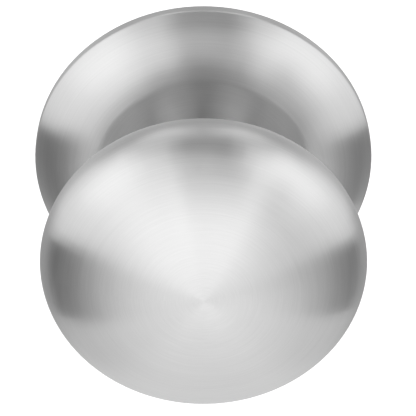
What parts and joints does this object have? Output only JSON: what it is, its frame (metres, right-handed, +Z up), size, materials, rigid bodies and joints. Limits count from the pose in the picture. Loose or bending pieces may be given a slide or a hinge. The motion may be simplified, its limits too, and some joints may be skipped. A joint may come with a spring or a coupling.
{
  "type": "door knob",
  "caption": "Round flat-fronted door knob on a short neck and a domed concealed-fixing rose, with a sprung turning mechanism, square spindle and threaded fixing posts.",
  "frame": {"origin": "centre of the rose's back, on the knob's axis, in the plane of the door's face", "axes": "-Y out of the door along the knob's axis, +Z up the door, +X to the right seen from the front"},
  "size_m": [0.066, 0.0937, 0.066],
  "materials": {
    "spun_knob": "satin, spun brushing round the axis",
    "spun_rose": "satin, spun brushing round the axis",
    "trim": "fine turned",
    "pressed_steel": "bright zinc plate over rolled strip",
    "turned_steel": "turned, lightly oiled",
    "bar_steel": "cold drawn bar",
    "spring_steel": "hardened and tempered",
    "rivet_steel": "zinc plate",
    "black_steel": "black oxide",
    "nylon": "natural nylon"
  },
  "bodies": {
    "rose": {"rose_plate": "pressed_steel", "spring_cup": "pressed_steel", "bearing_plate": "pressed_steel", "front_bush": "nylon", "rear_bush": "nylon", "return_spring": "spring_steel", "thrust_washer": "turned_steel", "fixing_posts": "turned_steel", "mechanism_rivets": "rivet_steel", "cover_clips": "spring_steel", "clip_rivets": "rivet_steel"},
    "knob": {"knob_face": "spun_knob", "knob_back": "spun_knob", "knob_core": "pressed_steel", "lock_washer": "spring_steel", "shank_nut": "turned_steel", "shank": "turned_steel", "spindle": "bar_steel", "grub_screw": "black_steel", "driver": "pressed_steel", "retaining_ring": "spring_steel"},
    "cover": {"rose_cover": "spun_rose", "trim_ring": "trim"}
  },
  "joints": [
    {"name": "knob_turn", "type": "hinge", "parent": "rose", "child": "knob", "pos_m": [0, 0, 0], "axis": [0, 1, 0], "range_deg": [-60, 60], "stiffness_Nm_per_rad": 0.4, "deforming": ["return_spring"]},
    {"name": "cover_slide", "type": "slide", "parent": "rose", "child": "cover", "axis": [0, -1, 0], "range_m": [0, 0.012]}
  ]
}
